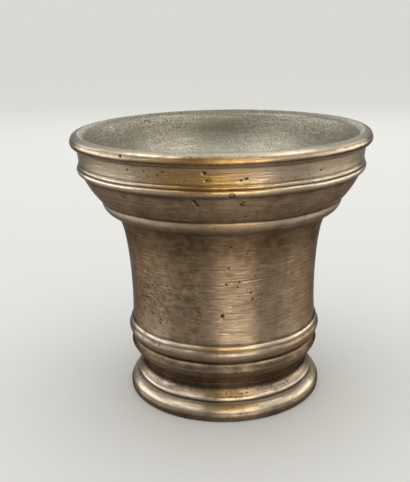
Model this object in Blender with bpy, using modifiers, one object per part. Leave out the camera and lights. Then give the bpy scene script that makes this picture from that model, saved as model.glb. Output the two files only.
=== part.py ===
"""A turned bronze mortar: one thick casting with a rolled rim, moulded neck, waisted body and spread foot,
and the small plug that closes a blow hole in its lower bead. Metres, +Z up, origin under the middle of the foot."""

import math

import bmesh
import bpy
from mathutils import Matrix, Vector

# overall: the rim and the neck keep their width round the mouth
HEIGHT = 0.130
MOUTH_RADIUS = 0.0665
TURNING_STEPS = 52
CLEARANCE = 0.0003

# rolled rim and the plain band under it
RIM_WIDTH = 0.0063
RIM_RADIUS = MOUTH_RADIUS + RIM_WIDTH
RIM_ROLL = 0.0030
RIM_LIP_WIDTH = 0.0048
BAND_SET_IN = 0.0025
BAND_RADIUS = RIM_RADIUS - BAND_SET_IN
BAND_TAPER = 0.0012
BAND_HEIGHT = 0.0076
BAND_HOLLOW = 0.0003

# the neck moulding: fine groove, fillet, groove, bead
FINE_GROOVE = 0.0006
FILLET_HEIGHT = 0.0011
NECK_BEAD_HEIGHT = 0.0034
NECK_BEAD_SET_IN = 0.0003
NECK_BEAD_RADIUS = BAND_RADIUS - NECK_BEAD_SET_IN

# the underside of the flare, down to the slanting bead
FLARE_SET_IN = 0.0022
FLARE_TOP_RADIUS = NECK_BEAD_RADIUS - FLARE_SET_IN
FLARE_FOOT_RADIUS = 0.0596
FLARE_HEIGHT = 0.0130
FLARE_SWELL = 0.0007
SLANT_BEAD_RADIUS = 0.0529
SLANT_BEAD_HEIGHT = 0.0071
SLANT_BEAD_SWELL = 0.0017
SLANT_BEAD_NOTCH = 0.0006

# waisted body
BODY_SET_IN = 0.0006
BODY_TOP_RADIUS = SLANT_BEAD_RADIUS - BODY_SET_IN
WAIST_RADIUS = 0.0455
WAIST_HEIGHT = 0.046
BODY_FOOT_RADIUS = 0.0458

# foot mouldings, from the floor up
BASE_RADIUS = 0.0476
BASE_SLOPE = 0.0006
REST_SET_IN = 0.0008
BASE_EDGE_HEIGHT = 0.0042
LEDGE_RADIUS = 0.0449
LEDGE_HEIGHT = 0.0070
LIP_RADIUS = 0.0438
LIP_BOTTOM = 0.0083
LIP_TOP = 0.0098
SCOTIA_RADIUS = 0.0427
SCOTIA_TOP = 0.0194
SCOTIA_HOLLOW = 0.0019
OVOLO_RADIUS = 0.0466
OVOLO_TOP_RADIUS = 0.0455
OVOLO_TOP = 0.0268
ROUND_RADIUS = 0.0477
ROUND_BOTTOM = 0.0281
ROUND_TOP = 0.0343
ROUND_ENDS_RADIUS = 0.0446
COLLAR_RADIUS = 0.0468
COLLAR_TOP = 0.0368

# hollow inside
FLOOR_THICKNESS = 0.0190
BORE_RADIUS = 0.0364
BORE_HEIGHT = 0.0540
THROAT_RADIUS = 0.0392
THROAT_HEIGHT = 0.0800
THROAT_PULL = 0.0200
MOUTH_PULL = 0.0220
MOUTH_SLOPE = 0.0050

# underside
REST_INNER_RADIUS = 0.0375
RECESS_RADIUS = 0.0345
RECESS_DEPTH = 0.0035
CENTRE_MARK_RADIUS = 0.0016
CENTRE_MARK_DEPTH = 0.0009

# plug in the neck bead
PLUG_RADIUS = 0.0010
PLUG_LENGTH = 0.0026
PLUG_CROWN = 0.0002
PLUG_TURN = math.radians(3.5)

BRONZE = (0.28, 0.165, 0.075, 1.0)
PLUG_BRONZE = (0.42, 0.29, 0.16, 1.0)


def arc(start, end, swell, steps):
    """Points after start along a circular arc to end. A positive swell bulges to the left of the way it goes,
    which is away from the metal all along the outline."""
    a, b = Vector(start), Vector(end)
    if abs(swell) < 1e-9:
        return [tuple(a.lerp(b, (i + 1) / steps)) for i in range(steps)]
    chord = b - a
    left = Vector((-chord.y, chord.x)).normalized()
    radius = (chord.length_squared / 4 + swell * swell) / (2 * abs(swell))
    side = math.copysign(1.0, swell)
    centre = (a + b) / 2 + left * (swell - side * radius)
    first, last = a - centre, b - centre
    turn = math.atan2(first.x * last.y - first.y * last.x, first.dot(last))
    points = []
    for i in range(1, steps + 1):
        angle = turn * i / steps
        points.append((centre.x + first.x * math.cos(angle) - first.y * math.sin(angle),
                       centre.y + first.x * math.sin(angle) + first.y * math.cos(angle)))
    return points


def bend(start, pull_a, pull_b, end, steps):
    """Points after start along a smooth curve to end that sets off towards pull_a and arrives from pull_b."""
    points = []
    for i in range(1, steps + 1):
        t = i / steps
        weights = ((1 - t) ** 3, 3 * t * (1 - t) ** 2, 3 * t * t * (1 - t), t ** 3)
        corners = (start, pull_a, pull_b, end)
        points.append(tuple(sum(w * c[axis] for w, c in zip(weights, corners)) for axis in (0, 1)))
    return points


def body_radius(z, top, foot):
    """The waisted body: widest under the slanting bead, narrowest at the waist."""
    if z >= WAIST_HEIGHT:
        t = (z - WAIST_HEIGHT) / (top - WAIST_HEIGHT)
        rise = BODY_TOP_RADIUS - WAIST_RADIUS
        return WAIST_RADIUS + rise * (0.66 * t * t + 0.34 * t ** 10)
    t = (WAIST_HEIGHT - z) / (WAIST_HEIGHT - foot)
    return WAIST_RADIUS + (BODY_FOOT_RADIUS - WAIST_RADIUS) * t * t


def levels():
    """Heights of the neck mouldings, measured down from the rim."""
    band_top = HEIGHT - 2 * RIM_ROLL - 0.0001
    band_foot = band_top - BAND_HEIGHT
    fillet_top = band_foot - FINE_GROOVE
    fillet_foot = fillet_top - FILLET_HEIGHT
    bead_top = fillet_foot - FINE_GROOVE * 0.5
    bead_foot = bead_top - NECK_BEAD_HEIGHT
    flare_foot = bead_foot - FLARE_HEIGHT
    slant_foot = flare_foot - SLANT_BEAD_HEIGHT
    return band_top, band_foot, fillet_top, fillet_foot, bead_top, bead_foot, flare_foot, slant_foot


def hollow_side():
    """From the middle of the bowl's floor up the inner wall to the lip."""
    depth = BORE_HEIGHT - FLOOR_THICKNESS
    points = []
    for i in range(10):
        turn = math.pi / 2 * i / 9
        points.append((BORE_RADIUS * math.sin(turn), BORE_HEIGHT - depth * math.cos(turn)))
    points += arc(points[-1], (THROAT_RADIUS, THROAT_HEIGHT), 0.0004, 2)
    steepness = (THROAT_RADIUS - BORE_RADIUS) / (THROAT_HEIGHT - BORE_HEIGHT) * 1.4
    out_of_throat = (THROAT_RADIUS + THROAT_PULL * steepness, THROAT_HEIGHT + THROAT_PULL)
    under_mouth = (MOUTH_RADIUS - MOUTH_SLOPE, HEIGHT - RIM_ROLL - MOUTH_PULL)
    points += bend(points[-1], out_of_throat, under_mouth, (MOUTH_RADIUS, HEIGHT - RIM_ROLL), 9)
    return points


def rim_side(start):
    """Over the rolled rim, from the lip's inner edge to the top of the band."""
    band_top = levels()[0]
    lip_edge = (RIM_RADIUS - RIM_LIP_WIDTH, HEIGHT - 0.0007)
    crown = (RIM_RADIUS - RIM_ROLL, HEIGHT)
    girth = (RIM_RADIUS, HEIGHT - RIM_ROLL * 0.9)
    under = (BAND_RADIUS + 0.0006, band_top)
    points = arc(start, lip_edge, 0.0003, 2)
    points += arc(points[-1], crown, 0.0001, 1)
    points += arc(points[-1], girth, 0.0009, 4)
    points += arc(points[-1], under, 0.0010, 4)
    return points


def neck_side(start):
    """Down the band, the grooves, the fillet and the neck bead, then the flare and the slanting bead."""
    band_top, band_foot, fillet_top, fillet_foot, bead_top, bead_foot, flare_foot, slant_foot = levels()
    band_foot_radius = BAND_RADIUS - BAND_TAPER
    groove_radius = band_foot_radius - FINE_GROOVE * 0.6
    fillet_radius = band_foot_radius + 0.0002
    points = [(BAND_RADIUS + 0.0001, band_top - 0.0003)]
    points += arc(points[-1], (band_foot_radius, band_foot), -BAND_HOLLOW, 3)
    points += [(groove_radius, band_foot - FINE_GROOVE * 0.5), (fillet_radius, fillet_top)]
    points += arc(points[-1], (fillet_radius, fillet_foot), 0.0001, 2)
    points += [(groove_radius + 0.0001, fillet_foot - FINE_GROOVE * 0.25), (fillet_radius, bead_top)]
    middle = bead_foot + NECK_BEAD_HEIGHT * 0.62
    points += arc(points[-1], (NECK_BEAD_RADIUS, middle), 0.0003, 2)
    points += arc(points[-1], (FLARE_TOP_RADIUS, bead_foot), 0.0006, 3)
    points += arc(points[-1], (FLARE_FOOT_RADIUS, flare_foot + SLANT_BEAD_NOTCH * 0.5), FLARE_SWELL, 4)
    points += [(FLARE_FOOT_RADIUS - SLANT_BEAD_NOTCH, flare_foot)]
    points += arc(points[-1], (SLANT_BEAD_RADIUS, slant_foot), SLANT_BEAD_SWELL, 6)
    return points


def body_side(start):
    """Down the waisted body to the collar over the foot."""
    top = start[1] - 0.0004
    count = 12
    points = []
    for i in range(count + 1):
        # closer together where the body curls out under the bead
        z = top - (top - COLLAR_TOP) * (i / count) ** 1.5
        points.append((body_radius(z, top, COLLAR_TOP), z))
    return points


def foot_side(start):
    """Collar, round, ovolo, scotia, lip, ledge and base, down to the resting edge."""
    points = arc(start, (COLLAR_RADIUS, ROUND_TOP + 0.0002), 0.0004, 3)
    points += [(COLLAR_RADIUS - 0.0001, ROUND_TOP - 0.0001)]
    waist = (ROUND_BOTTOM + ROUND_TOP) / 2 + 0.0012
    points += arc(points[-1], (ROUND_RADIUS, waist), 0.0002, 2)
    points += arc(points[-1], (ROUND_ENDS_RADIUS, ROUND_BOTTOM), 0.0008, 4)
    points += [(ROUND_ENDS_RADIUS - 0.0002, ROUND_BOTTOM - 0.0004)]
    points += arc(points[-1], (OVOLO_TOP_RADIUS, OVOLO_TOP), 0.0001, 1)
    points += arc(points[-1], (OVOLO_RADIUS, OVOLO_TOP - 0.0026), 0.0002, 2)
    points += arc(points[-1], (SCOTIA_RADIUS, SCOTIA_TOP), 0.0006, 3)
    points += arc(points[-1], (LIP_RADIUS - 0.0001, LIP_TOP), -SCOTIA_HOLLOW, 6)
    points += [(LIP_RADIUS, LIP_BOTTOM + 0.0004), (LIP_RADIUS - 0.0006, LIP_BOTTOM)]
    points += arc(points[-1], (LEDGE_RADIUS, LEDGE_HEIGHT), -0.0002, 2)
    points += arc(points[-1], (BASE_RADIUS - BASE_SLOPE, BASE_EDGE_HEIGHT), 0.0003, 2)
    points += [(BASE_RADIUS, BASE_EDGE_HEIGHT / 2), (BASE_RADIUS - 0.0001, 0.0007)]
    points += [(BASE_RADIUS - REST_SET_IN, 0.0)]
    return points


def under_side():
    """The flat ring it rests on and the shallow turned recess with its centre mark."""
    points = [(REST_INNER_RADIUS, 0.0)]
    points += arc(points[-1], (RECESS_RADIUS, RECESS_DEPTH), -0.0006, 3)
    points += [(CENTRE_MARK_RADIUS, RECESS_DEPTH), (0.0, RECESS_DEPTH + CENTRE_MARK_DEPTH)]
    return points


def turned_outline():
    points = hollow_side()
    points += rim_side(points[-1])
    points += neck_side(points[-1])
    points += body_side(points[-1])
    points += foot_side(points[-1])
    points += under_side()
    return points


def material(name, colour, roughness):
    mat = bpy.data.materials.new(name)
    mat.use_nodes = True
    shader = mat.node_tree.nodes["Principled BSDF"]
    shader.inputs["Base Color"].default_value = colour
    shader.inputs["Roughness"].default_value = roughness
    shader.inputs["Metallic"].default_value = 1.0
    mat.diffuse_color = colour
    return mat


def mesh_object(name, mesh, collection, parent=None):
    ob = bpy.data.objects.new(name, mesh)
    collection.objects.link(ob)
    ob.parent = parent
    return ob


def cylinder_mesh(name, radius, length, segments=24):
    """A cylinder along +Z with its foot at the origin."""
    mesh = bpy.data.meshes.new(name)
    bm = bmesh.new()
    bmesh.ops.create_cone(bm, cap_ends=True, segments=segments, radius1=radius, radius2=radius, depth=length,
                          matrix=Matrix.Translation((0.0, 0.0, length / 2)))
    bm.to_mesh(mesh)
    bm.free()
    return mesh


def plug_seat():
    """Where the plug's hole opens: the bead's surface at its own height, and the way out of it."""
    bead_foot = levels()[5]
    z = bead_foot + NECK_BEAD_HEIGHT * 0.36
    angle = -math.pi / 2 + PLUG_TURN
    outward = Vector((math.cos(angle), math.sin(angle), 0.0))
    return outward * (NECK_BEAD_RADIUS - 0.0002) + Vector((0.0, 0.0, z)), outward


def build():
    for ob in list(bpy.data.objects):
        bpy.data.objects.remove(ob, do_unlink=True)
    scene = bpy.context.scene
    pieces = bpy.data.collections.new("mortar")
    cutters = bpy.data.collections.new("mortar_cutters")
    scene.collection.children.link(pieces)
    scene.collection.children.link(cutters)

    base = bpy.data.objects.new("mortar_base", None)
    base.empty_display_size = REST_INNER_RADIUS
    pieces.objects.link(base)

    # the casting: its half section turned once round
    outline = turned_outline()
    mesh = bpy.data.meshes.new("mortar_casting")
    mesh.from_pydata([(r, 0.0, z) for r, z in outline], [(i, i + 1) for i in range(len(outline) - 1)], [])
    mesh.materials.append(material("cast_bronze", BRONZE, 0.38))
    casting = mesh_object("mortar_casting", mesh, pieces, base)
    turn = casting.modifiers.new("Turn", "SCREW")
    turn.steps = turn.render_steps = TURNING_STEPS
    turn.use_merge_vertices = True
    turn.merge_threshold = 0.00005
    turn.use_smooth_shade = True

    # the blow hole in the neck bead, drilled out and closed by a plug
    mouth, outward = plug_seat()
    seat_depth = PLUG_LENGTH + CLEARANCE
    hole_mesh = cylinder_mesh("blow_hole_cutter", PLUG_RADIUS + CLEARANCE, seat_depth + 0.004)
    hole = mesh_object("blow_hole_cutter", hole_mesh, cutters, base)
    aim = outward.to_track_quat("Z", "Y")
    hole.rotation_mode = "QUATERNION"
    hole.rotation_quaternion = aim
    hole.location = mouth - outward * seat_depth
    hole.hide_render = True
    hole.display_type = "WIRE"
    drill = casting.modifiers.new("Blow hole", "BOOLEAN")
    drill.operation = "DIFFERENCE"
    drill.solver = "EXACT"
    drill.object = hole

    plug_mesh = cylinder_mesh("founders_plug", PLUG_RADIUS, PLUG_LENGTH)
    bm = bmesh.new()
    bm.from_mesh(plug_mesh)
    face = max(bm.faces, key=lambda f: f.calc_center_median().z)
    bmesh.ops.inset_individual(bm, faces=[face], thickness=PLUG_RADIUS * 0.35, depth=PLUG_CROWN)
    bm.to_mesh(plug_mesh)
    bm.free()
    plug_mesh.materials.append(material("plug_bronze", PLUG_BRONZE, 0.32))
    plug_mesh.shade_smooth()
    plug_mesh.set_sharp_from_angle(angle=math.radians(40))
    plug = mesh_object("founders_plug", plug_mesh, pieces, base)
    plug.rotation_mode = "QUATERNION"
    plug.rotation_quaternion = aim
    plug.location = mouth - outward * PLUG_LENGTH


build()
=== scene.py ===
import math
import random

import bmesh
import bpy
from mathutils import Matrix, Vector, kdtree, noise


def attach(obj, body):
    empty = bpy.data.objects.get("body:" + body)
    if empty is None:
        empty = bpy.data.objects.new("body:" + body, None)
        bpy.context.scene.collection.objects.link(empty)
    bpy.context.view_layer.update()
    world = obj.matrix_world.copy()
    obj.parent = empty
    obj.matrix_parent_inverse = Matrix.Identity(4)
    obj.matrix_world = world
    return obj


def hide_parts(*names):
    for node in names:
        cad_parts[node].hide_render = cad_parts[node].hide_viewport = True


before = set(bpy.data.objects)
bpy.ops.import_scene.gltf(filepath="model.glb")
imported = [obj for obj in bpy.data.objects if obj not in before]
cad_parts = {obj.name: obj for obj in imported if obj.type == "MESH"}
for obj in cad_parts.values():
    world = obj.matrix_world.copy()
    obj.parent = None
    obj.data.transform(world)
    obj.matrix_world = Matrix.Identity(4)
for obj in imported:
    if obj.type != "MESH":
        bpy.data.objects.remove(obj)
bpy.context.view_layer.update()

# A turned bronze mortar on a pale table: dictionaries in millimetres and degrees, meshes in metres.
mm = 0.001
scene = bpy.context.scene


# helpers


def toLinear(hexColour, alpha=1.0):
    parts = [int(hexColour[i:i + 2], 16) / 255 for i in (1, 3, 5)]
    return (*[c / 12.92 if c <= 0.04045 else ((c + 0.055) / 1.055) ** 2.4 for c in parts], alpha)


def addNode(tree, kind, inputs=None, stops=None, **settings):
    # inputs holds values, output sockets, or nodes, which are linked from their first output in use; stops
    # are a ramp's (place, hex colour)
    made = tree.nodes.new(kind)
    for name, value in settings.items():
        setattr(made, name, value)
    for name, value in (inputs or {}).items():
        if isinstance(value, bpy.types.Node):
            value = next(socket for socket in value.outputs if socket.enabled)
        if isinstance(value, bpy.types.NodeSocket):
            tree.links.new(value, made.inputs[name])
        else:
            made.inputs[name].default_value = value
    if stops:
        ramp = made.color_ramp.elements
        while len(ramp) < len(stops):
            ramp.new(0.5)
        for stop, (place, colour) in zip(ramp, stops):
            stop.position = place
            stop.color = toLinear(colour)
    return made


def newMaterial(name):
    made = bpy.data.materials.new(name)
    made.use_nodes = True
    made.node_tree.nodes.clear()
    return made, made.node_tree


def newPiece(name, bm, materials):
    mesh = bpy.data.meshes.new(name)
    bm.to_mesh(mesh)
    bm.free()
    mesh.shade_smooth()
    for each in materials:
        mesh.materials.append(each)
    made = bpy.data.objects.new(name, mesh)
    scene.collection.objects.link(made)
    return made


def arcPoints(start, end, swell, spacing):
    # along a circular arc after start; a positive swell bulges away from the metal
    a, b = Vector(start), Vector(end)
    chord = b - a
    steps = max(1, round((chord.length + 2 * abs(swell)) / spacing))
    if abs(swell) < 1e-6:
        return [tuple(a.lerp(b, (i + 1) / steps)) for i in range(steps)]
    left = Vector((-chord.y, chord.x)).normalized()
    radius = (chord.length_squared / 4 + swell * swell) / (2 * abs(swell))
    centre = (a + b) / 2 + left * (swell - math.copysign(radius, swell))
    first, last = a - centre, b - centre
    turn = math.atan2(first.x * last.y - first.y * last.x, first.dot(last))
    return [tuple(centre + Matrix.Rotation(turn * i / steps, 2) @ first) for i in range(1, steps + 1)]


def bendPoints(start, pullA, pullB, end, spacing):
    # along a smooth curve after start that sets off towards pullA and arrives from pullB
    a, b, c, d = (Vector(p) for p in (start, pullA, pullB, end))
    steps = max(2, round((d - a).length * 1.08 / spacing))
    points = []
    for i in range(1, steps + 1):
        t = i / steps
        rest = 1 - t
        points.append(tuple(a * rest ** 3 + b * 3 * t * rest ** 2 + c * 3 * t * t * rest + d * t ** 3))
    return points


# camera: it stands where the photograph's stood. The photograph is the lower part of a taller frame, so the
# camera looks flatter than its middle and the lens is shifted down.

cameraSet = {"place": (0.0, -379.0, 185.8), "turn": -1.19, "dip": 11.02, "roll": -1.19, "lens": 58.69,
             "sensor": 36.0, "shiftDown": 0.16}


def placeCamera(s):
    turn, dip, roll = (math.radians(s[k]) for k in ("turn", "dip", "roll"))
    ahead = Vector((math.sin(turn) * math.cos(dip), math.cos(turn) * math.cos(dip), -math.sin(dip)))
    right = ahead.cross(Vector((0, 0, 1))).normalized()
    up = right.cross(ahead)
    x = right * math.cos(roll) + up * math.sin(roll)
    y = up * math.cos(roll) - right * math.sin(roll)
    data = bpy.data.cameras.new("photoCamera")
    data.sensor_width = s["sensor"]
    data.lens = s["lens"]
    data.shift_y = -s["shiftDown"]
    data.clip_start, data.clip_end = 0.01, 60
    made = bpy.data.objects.new("photoCamera", data)
    scene.collection.objects.link(made)
    facing = Matrix((x, y, -ahead)).transposed().to_4x4()
    made.matrix_world = Matrix.Translation(Vector(s["place"]) * mm) @ facing
    scene.camera = made


placeCamera(cameraSet)
print("camera set")


# bronze as it comes off the lathe, out of the mould and off the file

# leaded bronze, turned, then rubbed for years: fine rings round it that stretch a highlight up and down,
# a brown patina with grime left in the grooves, yellow metal where it is handled, and small black pits
# where the casting was porous. Dust and wax grey it towards its edges. Painted highlight, painted shade
# and a warm reflection painted yellow at the front ride on its wear, grime, stain and polish.
turnedBronzeSet = {
    "brown": "#6b4e32", "deep": "#4b3622", "grey": "#645139", "dull": "#c2b7a4", "gold": "#a8823e",
    "grimeAndShade": "#2a2018", "edgeTint": "#96999f", "wax": 0.08, "roughness": 0.38, "anisotropy": 0.82,
    # real tool rings are about 0.15 mm wide, too fine to show, so they are drawn coarser
    "ringWidth": 0.40, "ringLength": 8.0, "scoreWidth": 0.75, "scoreLength": 24.0, "mottle": 6.0,
    "blotch": 2.2, "speck": 1.2, "speckPatch": 22.0, "markDepth": 0.12,
}


def turnedBronze(s):
    made, tree = newMaterial("turnedBronze")
    place = addNode(tree, "ShaderNodeTexCoord").outputs["Object"]
    # wear and grime carry painted highlight and painted shade, stain painted shade and polish a painted
    # reflection, beside real wear, dirt, stains and polish
    wearAndLight, grimeAndShade, stainAndShade, polishAndReflection, scored = (
        addNode(tree, "ShaderNodeAttribute", attribute_name=name).outputs["Fac"]
        for name in ("wearAndLight", "grimeAndShade", "stainAndShade", "polishAndReflection", "scored"))

    # the tool's rings: lines ringWidth wide that run for ringLength before they fade
    across, along = 1 / (s["ringWidth"] * 2 * mm), 1 / (s["ringLength"] * mm)
    ringPlace = addNode(tree, "ShaderNodeMapping", {"Vector": place, "Scale": (along, along, across)})
    rings = addNode(tree, "ShaderNodeTexNoise", {"Vector": ringPlace, "Scale": 1.0, "Detail": 3.0,
                                                 "Roughness": 0.6})
    # and the odd deeper score, sharp edged
    across, along = 1 / (s["scoreWidth"] * 2 * mm), 1 / (s["scoreLength"] * mm)
    scorePlace = addNode(tree, "ShaderNodeMapping", {"Vector": place, "Scale": (along, along, across),
                                                     "Location": (3.0, 1.0, 7.0)})
    scores = addNode(tree, "ShaderNodeTexNoise", {"Vector": scorePlace, "Scale": 1.0, "Detail": 2.0,
                                                  "Roughness": 0.55})
    score = addNode(tree, "ShaderNodeMapRange", {"Value": scores, "From Min": 0.53, "From Max": 0.62})

    # patina in clouds, and greyer in wide patches
    cloud = addNode(tree, "ShaderNodeTexNoise", {"Vector": place, "Scale": 1 / (s["mottle"] * mm),
                                                 "Detail": 5.0, "Roughness": 0.68, "Distortion": 0.5})
    wide = addNode(tree, "ShaderNodeTexNoise", {"Vector": place, "Scale": 1 / (s["mottle"] * 6 * mm),
                                                "Detail": 2.0, "Roughness": 0.5})
    cloudShare = addNode(tree, "ShaderNodeMapRange", {"Value": cloud, "From Min": 0.36, "From Max": 0.72,
                                                      "To Max": 0.9})
    wideShare = addNode(tree, "ShaderNodeMapRange", {"Value": wide, "From Min": 0.38, "From Max": 0.62,
                                                     "To Max": 0.5})
    colour = addNode(tree, "ShaderNodeMix", {"Factor": cloudShare, "A": toLinear(s["brown"]),
                                             "B": toLinear(s["deep"])}, data_type="RGBA")
    colour = addNode(tree, "ShaderNodeMix", {"Factor": wideShare, "A": colour, "B": toLinear(s["grey"])},
                     data_type="RGBA")

    # worn metal and painted highlight are a dull grey gold, yellow where polished and where the front's warm
    # reflection is painted
    wearAndLightBroken = addNode(tree, "ShaderNodeMath", {0: cloud, 1: -0.4, 2: wearAndLight}, operation="MULTIPLY_ADD")
    wearAndLightBroken = addNode(tree, "ShaderNodeMath", {0: rings, 1: -0.25, 2: wearAndLightBroken},
                         operation="MULTIPLY_ADD")
    wearAndLightShare = addNode(tree, "ShaderNodeMapRange", {"Value": wearAndLightBroken, "From Min": -0.34,
                                                     "From Max": 0.66})
    bare = addNode(tree, "ShaderNodeMix", {"Factor": polishAndReflection, "A": toLinear(s["dull"]),
                                           "B": toLinear(s["gold"])}, data_type="RGBA")
    colour = addNode(tree, "ShaderNodeMix", {"Factor": wearAndLightShare, "A": colour, "B": bare}, data_type="RGBA")

    # some rings keep dirt, most of all where it is stained and where shade is painted, others are rubbed
    # clean, and scores are darker
    dirtAndShadeRing = addNode(tree, "ShaderNodeMapRange", {"Value": rings, "From Min": 0.52, "From Max": 0.72,
                                                     "To Max": 0.20})
    stainAndShadeRing = addNode(tree, "ShaderNodeMath", {0: stainAndShade, 1: 1.0}, operation="ADD")
    dirtAndShadeRing = addNode(tree, "ShaderNodeMath", {0: dirtAndShadeRing, 1: stainAndShadeRing}, operation="MULTIPLY",
                        use_clamp=True)
    colour = addNode(tree, "ShaderNodeMix", {"Factor": dirtAndShadeRing, "A": colour, "B": toLinear(s["deep"])},
                     data_type="RGBA")
    cleanRing = addNode(tree, "ShaderNodeMapRange", {"Value": rings, "From Min": 0.42, "From Max": 0.28,
                                                     "To Max": 0.14})
    colour = addNode(tree, "ShaderNodeMix", {"Factor": cleanRing, "A": colour, "B": bare}, data_type="RGBA")
    scoreShare = addNode(tree, "ShaderNodeMath", {0: score, 1: 0.13}, operation="MULTIPLY")
    colour = addNode(tree, "ShaderNodeMix", {"Factor": scoreShare, "A": colour, "B": toLinear(s["deep"])},
                     data_type="RGBA")

    # dark blotches, again where it is stained and where shade is painted, and grime with painted shade in
    # clouds
    blotch = addNode(tree, "ShaderNodeTexNoise", {"Vector": place, "Scale": 1 / (s["blotch"] * mm),
                                                  "Detail": 3.0, "Roughness": 0.6, "Distortion": 0.8})
    blotch = addNode(tree, "ShaderNodeMath", {0: stainAndShade, 1: 0.16, 2: blotch}, operation="MULTIPLY_ADD")
    blotchShare = addNode(tree, "ShaderNodeMapRange", {"Value": blotch, "From Min": 0.61, "From Max": 0.76,
                                                       "To Max": 0.5})
    colour = addNode(tree, "ShaderNodeMix", {"Factor": blotchShare, "A": colour, "B": toLinear(s["deep"])},
                     data_type="RGBA")
    grimeAndShadeBroken = addNode(tree, "ShaderNodeMath", {0: grimeAndShade, 1: cloud, 2: grimeAndShade}, operation="MULTIPLY_ADD")
    grimeAndShadeShare = addNode(tree, "ShaderNodeMapRange", {"Value": grimeAndShadeBroken, "From Min": 0.05,
                                                      "From Max": 1.20, "To Max": 0.92})
    colour = addNode(tree, "ShaderNodeMix", {"Factor": grimeAndShadeShare, "A": colour, "B": toLinear(s["grimeAndShade"])},
                     data_type="RGBA")

    # gas pores opened by the tool: dark specks, thickest where it is stained and where shade is painted
    patch = addNode(tree, "ShaderNodeTexNoise", {"Vector": place, "Scale": 1 / (s["speckPatch"] * mm),
                                                 "Detail": 1.0})
    patch = addNode(tree, "ShaderNodeMath", {0: stainAndShade, 1: 0.25, 2: patch}, operation="MULTIPLY_ADD")
    cells = addNode(tree, "ShaderNodeTexVoronoi", {"Vector": place, "Scale": 1 / (s["speck"] * 2 * mm)},
                    feature="F1")
    size = addNode(tree, "ShaderNodeMapRange", {"Value": patch, "From Min": 0.45, "From Max": 0.80,
                                                "To Min": 0.02, "To Max": 0.24})
    speck = addNode(tree, "ShaderNodeMath", {0: size, 1: cells}, operation="SUBTRACT")
    speck = addNode(tree, "ShaderNodeMapRange", {"Value": speck, "From Max": 0.05})
    speckShare = addNode(tree, "ShaderNodeMath", {0: speck, 1: 0.75}, operation="MULTIPLY")
    colour = addNode(tree, "ShaderNodeMix", {"Factor": speckShare, "A": colour, "B": toLinear(s["grimeAndShade"])},
                     data_type="RGBA")

    # duller where patina, grime, painted shade and rings lie, smoother where it is rubbed and where highlight
    # is painted
    rough = addNode(tree, "ShaderNodeMapRange", {
        "Value": cloud, "From Min": 0.30, "From Max": 0.70, "To Min": s["roughness"] - 0.06,
        "To Max": s["roughness"] + 0.08})
    for cause, amount in ((wearAndLight, -0.07), (grimeAndShade, 0.20), (rings, 0.20)):
        rough = addNode(tree, "ShaderNodeMath", {0: cause, 1: amount, 2: rough}, operation="MULTIPLY_ADD")
    rough = addNode(tree, "ShaderNodeMath", {0: rough, 1: 0.10}, operation="SUBTRACT", use_clamp=True)

    # rings and scores cut deeper where it is scored, patina stands a little proud, and pores go in
    ringDepth = addNode(tree, "ShaderNodeMath", {0: scored, 1: 0.5, 2: 0.85}, operation="MULTIPLY_ADD")
    scoreDepth = addNode(tree, "ShaderNodeMath", {0: scored, 1: -1.1, 2: -0.5}, operation="MULTIPLY_ADD")
    height = addNode(tree, "ShaderNodeMath", {0: rings, 1: ringDepth}, operation="MULTIPLY")
    for cause, amount in ((score, scoreDepth), (cloud, 0.25), (speck, -0.9)):
        height = addNode(tree, "ShaderNodeMath", {0: cause, 1: amount, 2: height}, operation="MULTIPLY_ADD")
    bump = addNode(tree, "ShaderNodeBump", {"Height": height, "Strength": 0.85,
                                            "Distance": s["markDepth"] * mm})

    # the grain runs round the axis, so the highlight stretches across it
    circling = addNode(tree, "ShaderNodeVectorMath", {0: (0.0, 0.0, 1.0), 1: place},
                       operation="CROSS_PRODUCT")
    tangent = addNode(tree, "ShaderNodeVectorTransform", {"Vector": circling}, vector_type="VECTOR",
                      convert_from="OBJECT", convert_to="WORLD")
    shader = addNode(tree, "ShaderNodeBsdfPrincipled", {
        "Base Color": colour, "Metallic": 1.0, "Roughness": rough, "Normal": bump, "Tangent": tangent,
        "Anisotropic": s["anisotropy"], "Anisotropic Rotation": 0.25,
        "Specular Tint": toLinear(s["edgeTint"]), "Coat Weight": s["wax"], "Coat Roughness": 0.30})
    addNode(tree, "ShaderNodeOutputMaterial", {"Surface": shader})
    return made


# as-cast bronze skin: pimpled by the mould's sand, scored round by the pestle, dulled to grey-green. Real
# sand is about 0.2 mm, too fine to show, so its grain is drawn coarser.
castSkinSet = {
    "skin": "#918a7a", "pale": "#c8c4b6", "deep": "#585242", "black": "#26221c", "roughness": 0.42,
    "grain": 0.42, "scoreWidth": 0.5, "scoreLength": 14.0, "cloud": 18.0, "pore": 1.1, "porePatch": 15.0,
    "markDepth": 0.16,
}


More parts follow.
